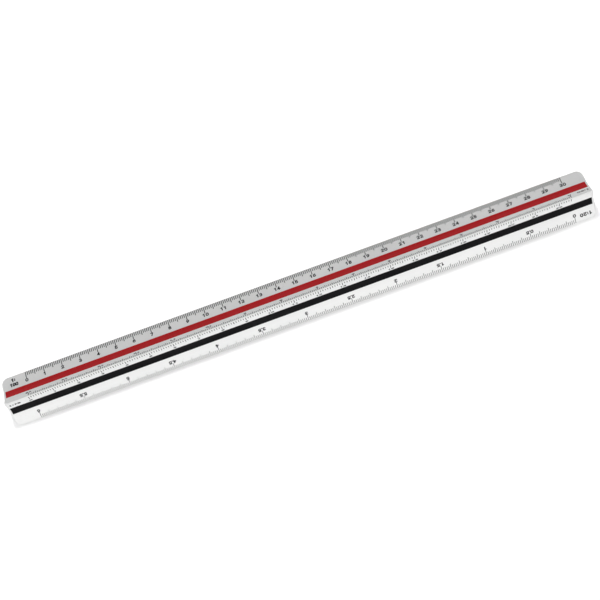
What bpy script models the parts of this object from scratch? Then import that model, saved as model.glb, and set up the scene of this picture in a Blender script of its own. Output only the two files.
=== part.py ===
"""Triangular scale ruler: a solid white body of three arms, with a coloured strip let into each flute.

Blender 4.5. Metres, +Z up. The ruler lies along X on two of its edges, with its third edge on top.
The origin is under the middle of the body, in the plane that the two lower edges rest on.
"""

import math

import bmesh
import bpy
from mathutils import Vector

# Body: the section is three arms round one axis, with a flat-bottomed flute between each two arms.
BODY_LENGTH = 0.326
EDGE_SPAN = 0.026  # across two neighbouring edges, over their rounding
EDGE_RADIUS = 0.0004  # rounding of each drawing edge
FLUTE_DEPTH = 0.0024  # from the plane through two edges down to the flute's floor
FLUTE_LEDGE = 0.00015  # floor left on each side of a strip's pocket
CORNER_RADIUS = 0.004  # rounding of each arm's two outer corners, seen from its side
END_RADIUS = 0.0012  # rounding between the long faces and the two end faces

# Colour strips: each lies in a pocket that is closed at both ends.
STRIP_END_MARGIN = 0.0012  # body left beyond each end of a strip
STRIP_WIDTH = 0.0065
STRIP_THICKNESS = 0.001
STRIP_HOLLOW = 0.00015  # how far the visible face dips along its middle
STRIP_CHAMFER = 0.00012
STRIP_CLEARANCE = 0.00025  # between a strip and its pocket, all round and underneath

ARM_COUNT = 3
EDGE_MIDDLE_SEGMENTS = 3  # of an edge's rounding, between its two narrow resting lands
END_STATIONS = 9  # steps of the rounding at each end
HOLLOW_SEGMENTS = 8
CUTTER_OVERLAP = 0.001  # how far a pocket's cutter stands out of the flute's floor

THIRD_TURN = 2 * math.pi / ARM_COUNT
HALF_THIRD = THIRD_TURN / 2

# Everything below follows from the sizes above. In a face's own plane, s runs across the face from
# its middle and n is the height above the body's axis.
EDGE_CENTRE_S = EDGE_SPAN / 2 - EDGE_RADIUS
EDGE_CENTRE_N = EDGE_CENTRE_S / math.tan(HALF_THIRD)
EDGE_CENTRE_REACH = EDGE_CENTRE_S / math.sin(HALF_THIRD)
FLOOR_N = EDGE_CENTRE_N + EDGE_RADIUS - FLUTE_DEPTH
STRIP_LENGTH = BODY_LENGTH - 2 * STRIP_END_MARGIN
POCKET_WIDTH = STRIP_WIDTH + 2 * STRIP_CLEARANCE
POCKET_LENGTH = STRIP_LENGTH + 2 * STRIP_CLEARANCE
POCKET_DEPTH = STRIP_THICKNESS + STRIP_CLEARANCE
FLOOR_HALF_WIDTH = POCKET_WIDTH / 2 + FLUTE_LEDGE

# A scale face is the line from the floor's side that touches the edge's rounding.
TO_EDGE = Vector((EDGE_CENTRE_S - FLOOR_HALF_WIDTH, EDGE_CENTRE_N - FLOOR_N))
SCALE_TILT = math.atan2(TO_EDGE.y, TO_EDGE.x) + math.asin(EDGE_RADIUS / TO_EDGE.length)
ARM_HALF_ANGLE = math.pi / 2 - HALF_THIRD - SCALE_TILT
ARM_APEX_REACH = EDGE_CENTRE_REACH + EDGE_RADIUS / math.sin(ARM_HALF_ANGLE)
ARM_REACH = EDGE_CENTRE_REACH + EDGE_RADIUS

# The lands that the ruler stands on are chords of the rounding, so they lie just inside it.
AXIS_HEIGHT = EDGE_CENTRE_N + EDGE_RADIUS * math.cos(SCALE_TILT)
ROUNDED_END = max(CORNER_RADIUS, END_RADIUS)

# name of the strip, and the turn about X that takes straight up to the outside of its face
FACES = (
    ("red_strip", -HALF_THIRD),
    ("black_strip", HALF_THIRD),
    ("green_strip", math.pi),
)


def clear_scene():
    for obj in list(bpy.data.objects):
        bpy.data.objects.remove(obj)


def new_collection(name):
    collection = bpy.data.collections.new(name)
    bpy.context.scene.collection.children.link(collection)
    return collection


def plastic(name, colour, roughness):
    material = bpy.data.materials.new(name)
    material.use_nodes = True
    shader = material.node_tree.nodes["Principled BSDF"]
    shader.inputs["Base Color"].default_value = (*colour, 1.0)
    shader.inputs["Roughness"].default_value = roughness
    shader.inputs["Metallic"].default_value = 0.0
    return material


def drop(radius, distance):
    """How far a quarter round of this radius has fallen at this distance from the face it ends on."""
    if distance >= radius:
        return 0.0
    return radius - math.sqrt(radius**2 - (radius - distance) ** 2)


def edge_angles():
    """Angles of the points round an arm's edge, from the arm's own direction. The first and the last
    step are the lands, which lie in the planes that the ruler rests on."""
    outer = HALF_THIRD + SCALE_TILT
    inner = HALF_THIRD - SCALE_TILT
    step = 2 * inner / EDGE_MIDDLE_SEGMENTS
    middle = [-inner + step * i for i in range(EDGE_MIDDLE_SEGMENTS + 1)]
    return [-outer, *middle, outer]


def section(distance):
    """Outline of the body at this distance from its end, as (y, z) about the axis, anticlockwise."""
    reach = ARM_REACH - drop(CORNER_RADIUS, distance)
    inset = drop(END_RADIUS, distance)
    from_apex = (ARM_APEX_REACH - reach) / (1 - math.sin(ARM_HALF_ANGLE))
    radius = from_apex * math.sin(ARM_HALF_ANGLE) - inset
    centre = ARM_APEX_REACH - from_apex
    floor_half_width = FLOOR_HALF_WIDTH + inset * math.tan(SCALE_TILT / 2)
    floor = FLOOR_N - inset
    points = []
    for arm in range(ARM_COUNT):
        along = math.pi / 2 + arm * THIRD_TURN
        middle = Vector((math.cos(along), math.sin(along))) * centre
        for angle in edge_angles():
            turned = along + angle
            points.append(middle + Vector((math.cos(turned), math.sin(turned))) * radius)
        facing = along + HALF_THIRD
        outwards = Vector((math.cos(facing), math.sin(facing)))
        across = Vector((-outwards.y, outwards.x))
        for side in (-floor_half_width, floor_half_width):
            points.append(outwards * floor + across * side)
    return points


def stations():
    """(x, distance from the nearer end) of each section, closer together where the ends are round."""
    steps = [math.pi / 2 * i / END_STATIONS for i in range(END_STATIONS + 1)]
    distances = [ROUNDED_END * (1 - math.cos(step)) for step in steps]
    low = [(distance - BODY_LENGTH / 2, distance) for distance in distances]
    high = [(-x, distance) for x, distance in reversed(low)]
    return low + high


def build_body(collection, material):
    """The body is lofted through its sections, because every section near an end is a different shape."""
    mesh = bmesh.new()
    rings = []
    for x, distance in stations():
        ring = [mesh.verts.new((x, y, z + AXIS_HEIGHT)) for y, z in section(distance)]
        rings.append(ring)
    for ring, following in zip(rings, rings[1:]):
        for i in range(len(ring)):
            j = (i + 1) % len(ring)
            mesh.faces.new((ring[i], ring[j], following[j], following[i]))
    mesh.faces.new(reversed(rings[0]))
    mesh.faces.new(rings[-1])
    bmesh.ops.recalc_face_normals(mesh, faces=mesh.faces)
    data = bpy.data.meshes.new("ruler_body")
    mesh.to_mesh(data)
    mesh.free()
    data.materials.append(material)
    data.shade_smooth()
    data.set_sharp_from_angle(angle=math.radians(12))
    body = bpy.data.objects.new("ruler_body", data)
    collection.objects.link(body)
    return body


def face_frame(name, turn, collection):
    """An empty on the body's axis whose own +Z points straight out of one face."""
    frame = bpy.data.objects.new(name, None)
    frame.location = (0.0, 0.0, AXIS_HEIGHT)
    frame.rotation_euler = (turn, 0.0, 0.0)
    collection.objects.link(frame)
    return frame


def cut_pocket(body, frame, name, cutters):
    """Cuts the pocket for one strip into the flute's floor."""
    height = POCKET_DEPTH + CUTTER_OVERLAP
    mesh = bmesh.new()
    bmesh.ops.create_cube(mesh, size=1.0)
    bmesh.ops.scale(mesh, vec=(POCKET_LENGTH, POCKET_WIDTH, height), verts=mesh.verts)
    data = bpy.data.meshes.new(name)
    mesh.to_mesh(data)
    mesh.free()
    cutter = bpy.data.objects.new(name, data)
    cutters.objects.link(cutter)
    cutter.parent = frame
    cutter.location = (0.0, 0.0, FLOOR_N - POCKET_DEPTH + height / 2)
    cutter.hide_render = True
    cutter.display_type = "WIRE"
    cut = body.modifiers.new(name, "BOOLEAN")
    cut.operation = "DIFFERENCE"
    cut.solver = "EXACT"
    cut.object = cutter


def strip_outline():
    """Section of a strip, as (across, up) from the middle of its underside: the visible face is a
    shallow hollow between two chamfered corners."""
    half = STRIP_WIDTH / 2
    rim = half - STRIP_CHAMFER
    points = [(-half, 0.0), (half, 0.0), (half, STRIP_THICKNESS - STRIP_CHAMFER)]
    for i in range(HOLLOW_SEGMENTS + 1):
        share = 1 - 2 * i / HOLLOW_SEGMENTS
        points.append((rim * share, STRIP_THICKNESS - STRIP_HOLLOW * (1 - share**2)))
    points.append((-half, STRIP_THICKNESS - STRIP_CHAMFER))
    return points


def build_strip(name, frame, collection, material):
    """A strip is its section, drawn as a flat outline and extruded along the ruler."""
    data = bpy.data.curves.new(name, "CURVE")
    data.dimensions = "2D"
    data.fill_mode = "BOTH"
    data.extrude = STRIP_LENGTH / 2
    outline = strip_outline()
    spline = data.splines.new("POLY")
    spline.points.add(len(outline) - 1)
    for point, (across, up) in zip(spline.points, outline):
        point.co = (-up, across, 0.0, 1.0)
    spline.use_cyclic_u = True
    data.materials.append(material)
    strip = bpy.data.objects.new(name, data)
    collection.objects.link(strip)
    strip.parent = frame
    strip.location = (0.0, 0.0, FLOOR_N - STRIP_THICKNESS)
    strip.rotation_euler = (0.0, math.pi / 2, 0.0)
    return strip


def main():
    clear_scene()
    parts = new_collection("triangular_scale_ruler")
    cutters = new_collection("cutters")
    colours = {
        "red_strip": plastic("red_plastic", (0.48, 0.013, 0.018), 0.45),
        "black_strip": plastic("black_plastic", (0.013, 0.013, 0.015), 0.4),
        "green_strip": plastic("green_plastic", (0.012, 0.2, 0.055), 0.45),
    }
    body = build_body(parts, plastic("white_plastic", (0.86, 0.86, 0.85), 0.35))
    for name, turn in FACES:
        frame = face_frame(f"{name}_face", turn, parts)
        cut_pocket(body, frame, f"{name}_pocket", cutters)
        build_strip(name, frame, parts, colours[name])


main()
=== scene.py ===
"""Looks of the triangular scale ruler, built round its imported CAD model.

Metres, +Z up. The ruler lies along X. Each of its three faces is a shallow flute with a coloured strip
in its floor and two sloping scale faces, one to each drawing edge. The scales are printed on those.
"""

import math

import bmesh
import bpy
from mathutils import Matrix, Vector


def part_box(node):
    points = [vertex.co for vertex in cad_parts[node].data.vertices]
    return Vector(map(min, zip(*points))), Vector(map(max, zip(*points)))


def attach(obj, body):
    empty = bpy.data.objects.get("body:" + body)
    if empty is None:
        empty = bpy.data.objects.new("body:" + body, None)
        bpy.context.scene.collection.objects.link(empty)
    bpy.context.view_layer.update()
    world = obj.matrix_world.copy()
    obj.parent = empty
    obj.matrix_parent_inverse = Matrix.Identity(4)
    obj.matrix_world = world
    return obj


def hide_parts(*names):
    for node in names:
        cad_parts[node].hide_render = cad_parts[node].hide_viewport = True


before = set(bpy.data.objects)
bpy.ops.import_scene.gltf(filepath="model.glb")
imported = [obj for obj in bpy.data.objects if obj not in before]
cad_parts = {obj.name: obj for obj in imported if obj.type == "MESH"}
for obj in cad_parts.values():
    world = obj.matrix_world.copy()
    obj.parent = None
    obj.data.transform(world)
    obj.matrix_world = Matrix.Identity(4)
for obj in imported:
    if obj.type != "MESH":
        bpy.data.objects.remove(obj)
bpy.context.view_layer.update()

MM = 0.001

# The section's driving sizes, as in the CAD model. Its lengths come from the frame.
EDGE_SPAN = 26.0 * MM
EDGE_RADIUS = 0.4 * MM
FLUTE_DEPTH = 2.4 * MM
FLOOR_HALF_WIDTH = 3.65 * MM
CORNER_RADIUS = 4.0 * MM
END_RADIUS = 1.2 * MM
ARMS = 3
HALF_THIRD = math.pi / ARMS

EDGE_CENTRE_S = EDGE_SPAN / 2 - EDGE_RADIUS
EDGE_CENTRE_N = EDGE_CENTRE_S / math.tan(HALF_THIRD)
EDGE_CENTRE_REACH = EDGE_CENTRE_S / math.sin(HALF_THIRD)
FLOOR_N = EDGE_CENTRE_N + EDGE_RADIUS - FLUTE_DEPTH
TO_EDGE = Vector((EDGE_CENTRE_S - FLOOR_HALF_WIDTH, EDGE_CENTRE_N - FLOOR_N))
TILT = math.atan2(TO_EDGE.y, TO_EDGE.x) + math.asin(EDGE_RADIUS / TO_EDGE.length)
ARM_HALF_ANGLE = math.pi / 2 - HALF_THIRD - TILT
APEX_REACH = EDGE_CENTRE_REACH + EDGE_RADIUS / math.sin(ARM_HALF_ANGLE)
ARM_REACH = EDGE_CENTRE_REACH + EDGE_RADIUS
AXIS_HEIGHT = EDGE_CENTRE_N + EDGE_RADIUS * math.cos(TILT)

BODY_LOW, BODY_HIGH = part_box("ruler_body")
BODY_LENGTH = BODY_HIGH.x - BODY_LOW.x
STRIP_LOW, STRIP_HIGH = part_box("green_strip")  # the level strip, so its box gives its section
STRIP_LENGTH = STRIP_HIGH.x - STRIP_LOW.x
STRIP_WIDTH = STRIP_HIGH.y - STRIP_LOW.y
STRIP_THICKNESS = STRIP_HIGH.z - STRIP_LOW.z

EDGE_SEGMENTS = 10
END_STATIONS = 24
SHARP_FROM = 20  # degrees between two faces, from which the edge between them is drawn sharp
SEAM = 0.05 * MM  # between a strip and its pocket
CUTTER_OVERLAP = 1.0 * MM

# A strip's face: a shallow hollow with fine ribs left by extrusion.
STRIP_HOLLOW = 0.15 * MM
STRIP_CHAMFER = 0.05 * MM
RIB_COUNT = 11
RIB_HEIGHT = 0.012 * MM
POINTS_A_RIB = 6

# The printing.
SCALE_LENGTH = 300 * MM
SCALE_MIDDLE = 0.8 * MM  # where the middle of each scale lies along the ruler
INK_PROUD = 0.010 * MM  # above the face
INK_LOW = -0.014 * MM  # its underside, in the face, so that no gap shows
INK_STEP = 0.002 * MM  # from one stroke's height to the next, so that crossing strokes don't coincide
MEDIUM_MORE, LONG_MORE = 1.1 * MM, 2.1 * MM  # how much longer than a short tick
TICK_START = 0.1 * MM  # from the edge's rounding to the ticks
ROUNDING = 1e-6  # keeps a whole number of steps from being rounded down
NUMERAL_HEIGHT = 2.4 * MM
NUMERAL_WEIGHT = 0.56 * MM
LABEL_HEIGHT = 2.6 * MM
LABEL_WEIGHT = 0.64 * MM
LABEL_SPACING = 3.4 * MM  # from one line to the next
LABEL_SQUEEZE = 0.8  # of the digits' width, where a label has two lines

# angle of each face's outward normal, from +Y towards +Z
FACES = {"red": HALF_THIRD / 2, "black": HALF_THIRD * 2.5, "green": HALF_THIRD * 4.5}


class Scale:
    """One printed scale: its ratio, its face, and the side of the face whose edge it runs along."""

    division = 1.0 * MM
    medium, long, numeral = 5, 10, 10  # divisions from one such mark to the next
    value = 1  # of one step between numerals
    short, weight = 2.8 * MM, 0.36 * MM  # a short tick's length, and every tick's width
    numeral_in = 6.2 * MM  # from the edge to the middle of the numerals
    label_in = 4.55 * MM  # from the edge to the label's middle
    label_before = 7.2 * MM  # from the label's middle to the zero
    shift = 0.0  # along the ruler, from where the other scales lie

    def __init__(self, ratio, face, side, label, **sizes):
        self.ratio, self.face, self.side, self.label = ratio, face, side, label
        for name, size in sizes.items():
            setattr(self, name, size)


COARSE = {  # what the two scales with half units have in common
    "medium": 5, "long": 25, "numeral": 25, "value": 0.5,
    "short": 2.6 * MM, "weight": 0.27 * MM, "numeral_in": 5.5 * MM,
    "label_in": 4.05 * MM, "label_before": 6.3 * MM,
}
SCALES = (
    Scale("1_100", "red", 1, "1:/100", weight=0.4 * MM),
    Scale("1_50", "red", -1, "1:50", medium=4, long=20, numeral=20, numeral_in=5.9 * MM,
          label_in=5.2 * MM, label_before=7.5 * MM),
    Scale("1_75", "black", 1, "1:75", division=4.0 / 3 * MM, numeral_in=7.4 * MM,
          label_in=4.9 * MM, label_before=8.5 * MM, shift=-0.4 * MM),
    Scale("1_20", "black", -1, "1:20", **COARSE, shift=0.2 * MM),
    Scale("1_125", "green", 1, "1:/125", division=0.8 * MM),
    Scale("1_25", "green", -1, "1:25", **COARSE, division=0.8 * MM),
)


# Meshes


def add_object(name, mesh, material):
    """An object of this bmesh that rides on the ruler."""
    bmesh.ops.recalc_face_normals(mesh, faces=mesh.faces)
    data = bpy.data.meshes.new(name)
    mesh.to_mesh(data)
    mesh.free()
    data.materials.append(material)
    piece = bpy.data.objects.new(name, data)
    bpy.context.scene.collection.objects.link(piece)
    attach(piece, "root")
    return piece


def shade(piece):
    piece.data.shade_smooth()
    piece.data.set_sharp_from_angle(angle=math.radians(SHARP_FROM))


def loft(mesh, rings):
    """Closed skin through rings of points, all with the same number of points."""
    rings = [[mesh.verts.new(point) for point in ring] for ring in rings]
    for ring, following in zip(rings, rings[1:]):
        for i in range(len(ring)):
            j = (i + 1) % len(ring)
            mesh.faces.new((ring[i], ring[j], following[j], following[i]))
    mesh.faces.new(rings[0])
    mesh.faces.new(rings[-1])


def face_matrix(angle):
    """Places a face's own frame: x along the ruler, y across the face, z out of it, from the axis."""
    return Matrix.Translation((0, 0, AXIS_HEIGHT)) @ Matrix.Rotation(angle - math.pi / 2, 4, "X")


def drop(radius, distance):
    """How far a quarter round has fallen at this distance from the face it ends on."""
    if distance >= radius:
        return 0.0
    return radius - math.sqrt(radius**2 - (radius - distance) ** 2)


def edge_angles():
    """Angles round a drawing edge, from its arm's direction. The first and the last step are straight:
    they are the lands that the ruler rests on, level with the faces."""
    outer, inner = HALF_THIRD + TILT, HALF_THIRD - TILT
    middle = [inner * (2 * i / EDGE_SEGMENTS - 1) for i in range(EDGE_SEGMENTS + 1)]
    return [-outer, *middle, outer]


def body_section(x):
    """The body's outline at x, smaller near an end, where its corners and edges are rounded."""
    distance = BODY_LENGTH / 2 - abs(x)
    inset = drop(END_RADIUS, distance)
    reach = ARM_REACH - drop(CORNER_RADIUS, distance)
    from_apex = (APEX_REACH - reach) / (1 - math.sin(ARM_HALF_ANGLE))
    radius = from_apex * math.sin(ARM_HALF_ANGLE) - inset
    floor_side = FLOOR_HALF_WIDTH + inset * math.tan(TILT / 2)
    points = []
    for arm in range(ARMS):
        along = math.pi / 2 + 2 * HALF_THIRD * arm
        middle = Vector((0, math.cos(along), math.sin(along))) * (APEX_REACH - from_apex)
        for angle in edge_angles():
            turned = along + angle
            points.append(middle + Vector((0, math.cos(turned), math.sin(turned))) * radius)
        facing = along + HALF_THIRD
        outwards = Vector((0, math.cos(facing), math.sin(facing)))
        across = Vector((0, -outwards.z, outwards.y))
        for side in (-floor_side, floor_side):
            points.append(outwards * (FLOOR_N - inset) + across * side)
    return [point + Vector((x, 0, AXIS_HEIGHT)) for point in points]


def make_body(material):
    steps = [math.pi / 2 * i / END_STATIONS for i in range(END_STATIONS + 1)]
    from_end = [CORNER_RADIUS * (1 - math.cos(step)) for step in steps]
    xs = [distance - BODY_LENGTH / 2 for distance in from_end]
    xs += [-x for x in reversed(xs)]
    mesh = bmesh.new()
    loft(mesh, [body_section(x) for x in xs])
    body = add_object("white_body", mesh, material)
    size = (STRIP_LENGTH + 2 * SEAM, STRIP_WIDTH + 2 * SEAM, STRIP_THICKNESS + SEAM + CUTTER_OVERLAP)
    cutters = bmesh.new()
    for angle in FACES.values():
        middle = Matrix.Translation((0, 0, FLOOR_N + CUTTER_OVERLAP - size[2] / 2))
        place = face_matrix(angle) @ middle @ Matrix.Diagonal((*size, 1))
        bmesh.ops.create_cube(cutters, size=1, matrix=place)
    cut_from(body, cutters)
    shade(body)
    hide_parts("ruler_body")


def cut_from(piece, cutters):
    """Cuts the closed bodies of one bmesh out of a piece."""
    data = bpy.data.meshes.new("cutters")
    cutters.to_mesh(data)
    cutters.free()
    cutter = bpy.data.objects.new("cutters", data)
    bpy.context.scene.collection.objects.link(cutter)
    modifier = piece.modifiers.new("cut", "BOOLEAN")
    modifier.operation = "DIFFERENCE"
    modifier.solver = "EXACT"
    modifier.object = cutter
    whole = piece.data
    graph = bpy.context.evaluated_depsgraph_get()
    piece.data = bpy.data.meshes.new_from_object(piece.evaluated_get(graph))
    piece.modifiers.clear()
    bpy.data.objects.remove(cutter)
    bpy.data.meshes.remove(data)
    bpy.data.meshes.remove(whole)


def strip_section():
    """A strip's outline as (across, out), from the middle of its underside."""
    half = STRIP_WIDTH / 2
    rim = half - STRIP_CHAMFER
    points = [(-half, 0.0), (half, 0.0), (half, STRIP_THICKNESS - STRIP_CHAMFER)]
    count = RIB_COUNT * POINTS_A_RIB
    for i in range(count + 1):
        share = 1 - 2 * i / count
        rib = RIB_HEIGHT * (math.cos(2 * math.pi * i / POINTS_A_RIB) - 1) / 2
        points.append((rim * share, STRIP_THICKNESS - STRIP_HOLLOW * (1 - share**2) + rib))
    points.append((-half, STRIP_THICKNESS - STRIP_CHAMFER))
    return points


def make_strip(colour, angle, material):
    place = face_matrix(angle) @ Matrix.Translation((0, 0, FLOOR_N - STRIP_THICKNESS))
    ends = (-STRIP_LENGTH / 2, STRIP_LENGTH / 2)
    mesh = bmesh.new()
    loft(mesh, [[place @ Vector((x, across, out)) for across, out in strip_section()] for x in ends])
    strip = add_object(f"{colour}_inlay", mesh, material)
    shade(strip)
    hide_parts(f"{colour}_strip")


# Printing


def scale_matrix(scale):
    """Places a scale's own frame on its sloping face: x along the reading direction from the zero, y
    towards the drawing edge, with 0 where the face meets the edge's rounding, and z out of the face."""
    side = scale.side
    up = Vector((0, side * math.cos(TILT), math.sin(TILT)))
    out = Vector((0, -side * math.sin(TILT), math.cos(TILT)))
    right = up.cross(out)
    edge = Vector((0, side * EDGE_CENTRE_S, EDGE_CENTRE_N)) + out * EDGE_RADIUS
    zero = Vector((SCALE_MIDDLE + scale.shift, 0, 0)) - right * SCALE_LENGTH / 2
    local = Matrix((right, up, out)).transposed().to_4x4()
    local.translation = edge + zero
    return face_matrix(FACES[scale.face]) @ local


def make_ticks(scale, material):
    mesh = bmesh.new()
    place = scale_matrix(scale)
    thickness = INK_PROUD - INK_LOW
    for i in range(round(SCALE_LENGTH / scale.division) + 1):
        more = LONG_MORE if i % scale.long == 0 else MEDIUM_MORE if i % scale.medium == 0 else 0
        span = scale.short + more - TICK_START
        middle = Matrix.Translation((i * scale.division, -TICK_START - span / 2, INK_PROUD - thickness / 2))
        size = Matrix.Diagonal((scale.weight, span, thickness, 1))
        bmesh.ops.create_cube(mesh, size=1, matrix=place @ middle @ size)
    add_object(f"ticks_{scale.ratio}", mesh, material)


# Sizes of the characters, where a digit is 1 high.
DIGIT_WIDTH = 0.6
MARK_WIDTHS = {":": 0.1, ".": -0.1}  # a point takes back a little of the gaps beside it
LETTER_GAP = 0.4
DEGREES_A_STEP = 24  # of each round stroke
SAME_POINT = 0.05  # of a stroke's width: ends nearer than this close the stroke into a ring


def arc(x, y, width, height, start, end):
    """Points of part of an ellipse between two angles in degrees, anticlockwise from +X."""
    steps = max(2, round(abs(end - start) / DEGREES_A_STEP))
    angles = [math.radians(start + (end - start) * i / steps) for i in range(steps + 1)]
    return [(x + width * math.cos(angle), y + height * math.sin(angle)) for angle in angles]


def half_turned(strokes):
    """A digit turned upside down, as a 9 is a 6."""
    return [[(DIGIT_WIDTH - x, 1 - y) for x, y in stroke] for stroke in strokes]


# Each character's strokes, along their middles, in a box as wide as DIGIT_WIDTH and 1 high.
SIX = [arc(0.3, 0.31, 0.3, 0.31, 180, 540), arc(0.66, 0.31, 0.66, 0.69, 180, 107)]
STROKES = {
    "0": [arc(0.3, 0.7, 0.3, 0.3, 0, 180) + arc(0.3, 0.3, 0.3, 0.3, 180, 360) + [(0.6, 0.7)]],
    "1": [[(0.12, 0.8), (0.38, 1)], [(0.38, 1), (0.38, 0)]],
    "2": [arc(0.3, 0.71, 0.29, 0.29, 165, -30) + [(0.02, 0.04)], [(0.02, 0), (0.6, 0)]],
    "3": [arc(0.28, 0.76, 0.27, 0.24, 155, -90), arc(0.28, 0.26, 0.31, 0.26, 90, -155)],
    "4": [[(0.46, 0), (0.46, 1)], [(0.44, 1), (0.02, 0.28)], [(0.02, 0.28), (0.64, 0.28)]],
    "5": [[(0.54, 1), (0.1, 1)], [(0.1, 1), (0.05, 0.55)], arc(0.27, 0.32, 0.32, 0.32, 132, -150)],
    "6": SIX,
    "7": [[(0.02, 1), (0.58, 1)], [(0.58, 1), (0.2, 0)]],
    "8": [arc(0.3, 0.765, 0.25, 0.235, 0, 360), arc(0.3, 0.275, 0.3, 0.275, 0, 360)],
    "9": half_turned(SIX),
    ".": [[(-0.05, 0), (-0.05, 0.04)]],
    ":": [[(0.05, 0.18), (0.05, 0.22)], [(0.05, 0.7), (0.05, 0.74)]],
}


def ink_stroke(mesh, place, points, width):
    """A flat ribbon of ink with square ends along these points, or a ring if they end where they start."""
    closed = (points[0] - points[-1]).length < width * SAME_POINT
    if closed:
        points = points[:-1]
    last = len(points) - 1
    rings = []
    for i, point in enumerate(points):
        before = points[i - 1] if closed or i > 0 else point
        after = points[(i + 1) % len(points)] if closed or i < last else point
        along = (after - before).normalized() * width / 2
        if not closed and i in (0, last):
            point = point + (along if i else -along)
        across = Vector((-along.y, along.x))
        corners = []
        for z, side in ((INK_PROUD, 1), (INK_PROUD, -1), (INK_LOW, -1), (INK_LOW, 1)):
            corners.append(mesh.verts.new(place @ Vector((*(point + across * side), z))))
        rings.append(corners)
    pairs = list(zip(rings, rings[1:] + rings[:1] if closed else rings[1:]))
    for ring, following in pairs:
        for i in range(4):
            j = (i + 1) % 4
            mesh.faces.new((ring[i], ring[j], following[j], following[i]))
    if not closed:
        mesh.faces.new(rings[0])
        mesh.faces.new(rings[-1])


def text_width(text):
    widths = [MARK_WIDTHS.get(character, DIGIT_WIDTH) for character in text]
    return sum(widths) + LETTER_GAP * (len(text) - 1)


def write(mesh, place, text, height, weight, squeeze=1.0):
    """Writes one line of characters, centred on the place's origin. Weight is the strokes' width."""
    size = height - weight
    stretch = Vector((size * squeeze, size))
    x = -text_width(text) / 2
    for character in text:
        for i, stroke in enumerate(STROKES[character]):
            points = [Vector((x + u, v - 0.5)) * stretch for u, v in stroke]
            ink_stroke(mesh, place @ Matrix.Translation((0, 0, i * INK_STEP)), points, weight)
        x += text_width(character) + LETTER_GAP


def make_numerals(scale, material):
    mesh = bmesh.new()
    place = scale_matrix(scale)
    spacing = scale.numeral * scale.division
    count = math.floor(SCALE_LENGTH / spacing + ROUNDING) + 1
    for i in range(count):
        middle = place @ Matrix.Translation((i * spacing, -scale.numeral_in, 0))
        write(mesh, middle, f"{i * scale.value:g}", NUMERAL_HEIGHT, NUMERAL_WEIGHT)
    add_object(f"numerals_{scale.ratio}", mesh, material)


def make_label(scale, material):
    mesh = bmesh.new()
    lines = scale.label.split("/")
    for i, line in enumerate(lines):
        y = LABEL_SPACING * ((len(lines) - 1) / 2 - i) - scale.label_in
        middle = scale_matrix(scale) @ Matrix.Translation((-scale.label_before, y, 0))
        write(mesh, middle, line, LABEL_HEIGHT, LABEL_WEIGHT, LABEL_SQUEEZE if len(lines) > 1 else 1)
    add_object(f"label_{scale.ratio}", mesh, material)


# Materials

# Each pair holds the two colours that a surface varies between.
WHITES = ((0.86, 0.865, 0.862), (0.885, 0.885, 0.88))
STRIP_COLOURS = {
    "red": ((0.52, 0.002, 0.005), (0.56, 0.003, 0.008)),
    "black": ((0.004, 0.004, 0.005), (0.008, 0.008, 0.009)),
    "green": ((0.010, 0.19, 0.05), (0.014, 0.22, 0.06)),
}
INKS = ((0.012, 0.012, 0.014), (0.045, 0.045, 0.05))
RUBBED_WHITE = (0.70, 0.70, 0.69)
SCRATCHED_WHITE = (0.62, 0.62, 0.60)
SCRATCHED_INK = (0.3, 0.3, 0.3)
SCRATCH_TURNS = (24, -38)  # degrees from the ruler's length
RUBBED_FROM, RUBBED_TO = 13.4 * MM, 14.8 * MM  # from the ruler's axis, where its edges are


def new_material(name):
    material = bpy.data.materials.new(name)
    material.use_nodes = True
    return material, material.node_tree, material.node_tree.nodes["Principled BSDF"]


def node(tree, kind, **settings):
    made = tree.nodes.new(kind)
    for key, value in settings.items():
        setattr(made, key, value)
    return made


def stretched_noise(tree, stretch, scale, detail, turn=0):
    """Noise in the object's own space, drawn out along the ruler, or turned from it by some degrees."""
    place = node(tree, "ShaderNodeTexCoord")
    mapping = node(tree, "ShaderNodeMapping", vector_type="TEXTURE")
    mapping.inputs["Rotation"].default_value = (0, 0, math.radians(turn))
    mapping.inputs["Scale"].default_value = (stretch, 1, 1)
    noise = node(tree, "ShaderNodeTexNoise")
    noise.inputs["Scale"].default_value = scale
    noise.inputs["Detail"].default_value = detail
    tree.links.new(place.outputs["Object"], mapping.inputs["Vector"])
    tree.links.new(mapping.outputs["Vector"], noise.inputs["Vector"])
    return noise.outputs["Fac"]


def remap(tree, value, source, target=(0, 1)):
    """Takes one range of a value, from its low end to its high end, to another, and keeps it in that."""
    made = node(tree, "ShaderNodeMapRange")
    made.inputs["From Min"].default_value, made.inputs["From Max"].default_value = source
    made.inputs["To Min"].default_value, made.inputs["To Max"].default_value = target
    tree.links.new(value, made.inputs["Value"])
    return made.outputs["Result"]


def mix(tree, share, first, second):
    """Blends two colours, each a socket or three numbers, by a share socket."""
    made = node(tree, "ShaderNodeMix", data_type="RGBA")
    tree.links.new(share, made.inputs["Factor"])
    for socket, colour in ((made.inputs[6], first), (made.inputs[7], second)):
        if isinstance(colour, tuple):
            socket.default_value = (*colour, 1)
        else:
            tree.links.new(colour, socket)
    return made.outputs[2]


def bump(tree, height, strength, distance, under=None):
    made = node(tree, "ShaderNodeBump")
    made.inputs["Strength"].default_value = strength
    made.inputs["Distance"].default_value = distance
    tree.links.new(height, made.inputs["Height"])
    if under:
        tree.links.new(under, made.inputs["Normal"])
    return made.outputs["Normal"]


def combine(tree, operation, first, second):
    """One number from two, each a socket or a number."""
    made = node(tree, "ShaderNodeMath", operation=operation)
    for socket, value in zip(made.inputs, (first, second)):
        if isinstance(value, (int, float)):
            socket.default_value = value
        else:
            tree.links.new(value, socket)
    return made.outputs[0]


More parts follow.
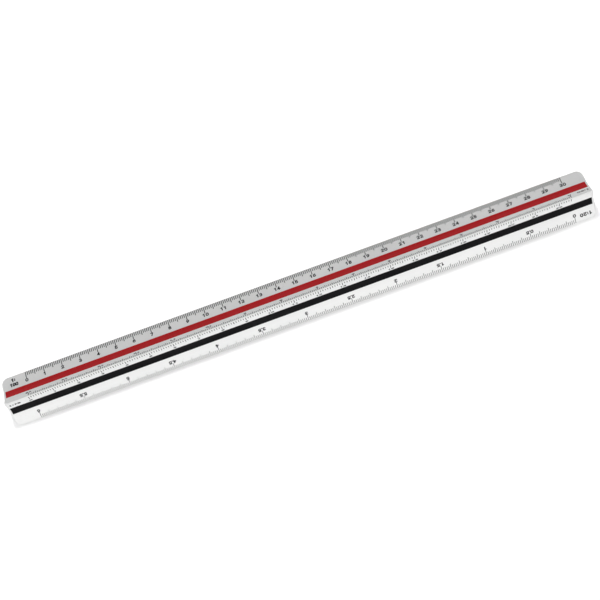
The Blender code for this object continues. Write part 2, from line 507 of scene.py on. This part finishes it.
def scratches(tree, turn):
    """Hairline scratches in patches, about this many degrees from the ruler's length: 1 in a scratch."""
    lines = stretched_noise(tree, stretch=14, scale=700, detail=1, turn=turn)
    off_line = combine(tree, "ABSOLUTE", combine(tree, "SUBTRACT", lines, 0.5), 0)
    patches = stretched_noise(tree, stretch=2, scale=60, detail=2, turn=turn)
    in_line = remap(tree, off_line, (0.002, 0.008), (1, 0))
    return combine(tree, "MULTIPLY", in_line, remap(tree, patches, (0.5, 0.6)))


def crossed_scratches(tree):
    return combine(tree, "MAXIMUM", *(scratches(tree, turn) for turn in SCRATCH_TURNS))


def axis_distance(tree):
    """Distance from the ruler's long axis, which tells its edges from the floors of its flutes."""
    place = node(tree, "ShaderNodeTexCoord")
    shift = node(tree, "ShaderNodeVectorMath", operation="SUBTRACT")
    shift.inputs[1].default_value = (0, 0, AXIS_HEIGHT)
    flatten = node(tree, "ShaderNodeVectorMath", operation="MULTIPLY")
    flatten.inputs[1].default_value = (0, 1, 1)
    length = node(tree, "ShaderNodeVectorMath", operation="LENGTH")
    tree.links.new(place.outputs["Object"], shift.inputs[0])
    tree.links.new(shift.outputs[0], flatten.inputs[0])
    tree.links.new(flatten.outputs[0], length.inputs[0])
    return length.outputs["Value"]


def white_plastic():
    """Satin moulded white with hairline scratches, greyer where hands and paper rub its edges."""
    material, tree, shader = new_material("white_plastic")
    cloud = stretched_noise(tree, stretch=3, scale=90, detail=4)
    speck = stretched_noise(tree, stretch=1, scale=2600, detail=2)
    lines = stretched_noise(tree, stretch=60, scale=4200, detail=3)
    worn = crossed_scratches(tree)

    base = mix(tree, remap(tree, cloud, (0.35, 0.65)), *WHITES)
    rubbed = remap(tree, axis_distance(tree), (RUBBED_FROM, RUBBED_TO), (0, 0.35))
    base = mix(tree, rubbed, base, RUBBED_WHITE)
    base = mix(tree, combine(tree, "MULTIPLY", worn, 0.25), base, SCRATCHED_WHITE)
    tree.links.new(base, shader.inputs["Base Color"])

    rough = remap(tree, cloud, (0.3, 0.7), (0.30, 0.44))
    rough = combine(tree, "ADD", rough, combine(tree, "MULTIPLY", worn, 0.2))
    tree.links.new(rough, shader.inputs["Roughness"])

    surface = bump(tree, lines, strength=0.12, distance=0.04 * MM)
    surface = bump(tree, speck, strength=0.10, distance=0.03 * MM, under=surface)
    tree.links.new(surface, shader.inputs["Normal"])
    shader.inputs["IOR"].default_value = 1.49
    return material


def strip_plastic(colour):
    """Extruded plastic with fine lengthwise lines, its colour a little uneven."""
    material, tree, shader = new_material(f"{colour}_plastic")
    cloud = stretched_noise(tree, stretch=8, scale=220, detail=3)
    lines = stretched_noise(tree, stretch=120, scale=5200, detail=3)
    base = mix(tree, remap(tree, cloud, (0.35, 0.65)), *STRIP_COLOURS[colour])
    tree.links.new(base, shader.inputs["Base Color"])
    tree.links.new(remap(tree, lines, (0.3, 0.7), (0.38, 0.55)), shader.inputs["Roughness"])
    tree.links.new(bump(tree, lines, strength=0.25, distance=0.05 * MM), shader.inputs["Normal"])
    shader.inputs["Specular IOR Level"].default_value = 0.2
    return material


def black_ink():
    """Printing ink: matt, thinner in places, and cut by the same scratches as the plastic under it."""
    material, tree, shader = new_material("black_ink")
    grain = stretched_noise(tree, stretch=1, scale=3200, detail=3)
    ink = mix(tree, remap(tree, grain, (0.4, 0.7)), *INKS)
    ink = mix(tree, combine(tree, "MULTIPLY", crossed_scratches(tree), 0.5), ink, SCRATCHED_INK)
    tree.links.new(ink, shader.inputs["Base Color"])
    tree.links.new(remap(tree, grain, (0.3, 0.7), (0.5, 0.7)), shader.inputs["Roughness"])
    shader.inputs["Specular IOR Level"].default_value = 0.25
    return material


# Stage, lights and camera

CAMERA_LENS = 141.98
CAMERA_DISTANCE = 1.25
CAMERA_LEAN = 0.75  # degrees from straight down, towards the front
CAMERA_TARGET = (0.18 * MM, -1.12 * MM, 0)
RULER_RISE = 20  # degrees that the ruler rises to the right in the picture


def make_floor():
    mesh = bmesh.new()
    bmesh.ops.create_circle(mesh, cap_ends=True, segments=96, radius=6)
    data = bpy.data.meshes.new("floor")
    mesh.to_mesh(data)
    mesh.free()
    material, tree, shader = new_material("floor_paper")
    shader.inputs["Base Color"].default_value = (0.9, 0.9, 0.9, 1)
    shader.inputs["Roughness"].default_value = 0.9
    shader.inputs["Specular IOR Level"].default_value = 0.1
    shader.inputs["Emission Color"].default_value = (1, 1, 1, 1)
    shader.inputs["Emission Strength"].default_value = 0.1
    data.materials.append(material)
    floor = bpy.data.objects.new("floor", data)
    floor.visible_glossy = False
    bpy.context.scene.collection.objects.link(floor)
    return floor


def area_light(name, size, watts, distance, azimuth, elevation):
    """A soft square light aimed at the ruler. Azimuth 0 is in front, on the -Y side."""
    data = bpy.data.lights.new(name, "AREA")
    data.size = size
    data.energy = watts
    light = bpy.data.objects.new(name, data)
    turn, lift = math.radians(azimuth), math.radians(elevation)
    away = Vector((math.sin(turn) * math.cos(lift), -math.cos(turn) * math.cos(lift), math.sin(lift)))
    light.location = away * distance
    light.rotation_euler = away.to_track_quat("Z", "Y").to_euler()
    bpy.context.scene.collection.objects.link(light)
    return light


def light_only(light, *receivers):
    """Makes a light reach only these objects. Everything still casts shadows from it."""
    group = bpy.data.collections.new(f"{light.name}_receivers")
    for receiver in receivers:
        group.objects.link(receiver)
    light.light_linking.receiver_collection = group


def spot_light(name, x, watts, height, cone):
    """A soft pool of light straight down on the floor at x. The cone is its whole angle in degrees."""
    data = bpy.data.lights.new(name, "SPOT")
    data.energy = watts
    data.spot_size = math.radians(cone)
    data.spot_blend = 1
    data.shadow_soft_size = 0.02
    light = bpy.data.objects.new(name, data)
    light.location = (x, 0, height)
    bpy.context.scene.collection.objects.link(light)
    return light


def make_world(strength):
    """Even light from above, none from below, where the floor gives it. The camera sees it as white."""
    world = bpy.data.worlds.new("studio")
    world.use_nodes = True
    tree = world.node_tree
    place = node(tree, "ShaderNodeTexCoord")
    split = node(tree, "ShaderNodeSeparateXYZ")
    path = node(tree, "ShaderNodeLightPath")
    shown = node(tree, "ShaderNodeMath", operation="MAXIMUM")
    tree.links.new(place.outputs["Generated"], split.inputs[0])
    tree.links.new(remap(tree, split.outputs["Z"], (-0.02, 0.02), (0, strength)), shown.inputs[0])
    tree.links.new(path.outputs["Is Camera Ray"], shown.inputs[1])
    tree.links.new(shown.outputs[0], tree.nodes["Background"].inputs["Strength"])
    tree.nodes["Background"].inputs["Color"].default_value = (1, 1, 1, 1)
    bpy.context.scene.world = world


def make_lights(floor):
    """The pieces and the floor have lights of their own, so that the floor stays white and the shadow
    along the front edge stays soft. The spots lighten the floor beside each end."""
    pieces = [o for o in bpy.context.scene.objects if o.type == "MESH" and o != floor]
    key = area_light("key", size=1.2, watts=11.9, distance=1.6, azimuth=-8, elevation=50)
    light_only(key, *pieces)
    back = area_light("floor_light", size=0.14, watts=19, distance=1.8, azimuth=180, elevation=58)
    light_only(back, floor)
    sky = area_light("floor_sky", size=2.4, watts=5, distance=1.5, azimuth=0, elevation=90)
    light_only(sky, floor)
    for side in (-1, 1):
        end = area_light("end_light", size=0.8, watts=2, distance=1.5, azimuth=90 * side, elevation=12)
        light_only(end, *pieces)
        beside_end = side * (BODY_LENGTH / 2 + 8 * MM)
        light_only(spot_light("end_spot", beside_end, watts=2.2, height=0.4, cone=7), floor)
    make_world(0.535)


def make_camera():
    """Looks almost straight down, a little from the front, with the ruler rising to the right."""
    data = bpy.data.cameras.new("camera")
    data.sensor_width = 36
    data.lens = CAMERA_LENS
    data.clip_start = 0.05
    lean = Matrix.Rotation(math.radians(CAMERA_LEAN), 4, "X")
    roll = Matrix.Rotation(math.radians(-RULER_RISE), 4, "Z")
    away = Matrix.Translation((0, 0, CAMERA_DISTANCE))
    camera = bpy.data.objects.new("camera", data)
    camera.matrix_world = Matrix.Translation(CAMERA_TARGET) @ lean @ roll @ away
    bpy.context.scene.collection.objects.link(camera)
    bpy.context.scene.camera = camera


def main():
    make_body(white_plastic())
    for colour, angle in FACES.items():
        make_strip(colour, angle, strip_plastic(colour))
    ink = black_ink()
    for scale in SCALES:
        make_ticks(scale, ink)
        make_numerals(scale, ink)
        make_label(scale, ink)
    make_lights(make_floor())
    make_camera()
    bpy.context.scene.view_settings.view_transform = "Standard"


main()
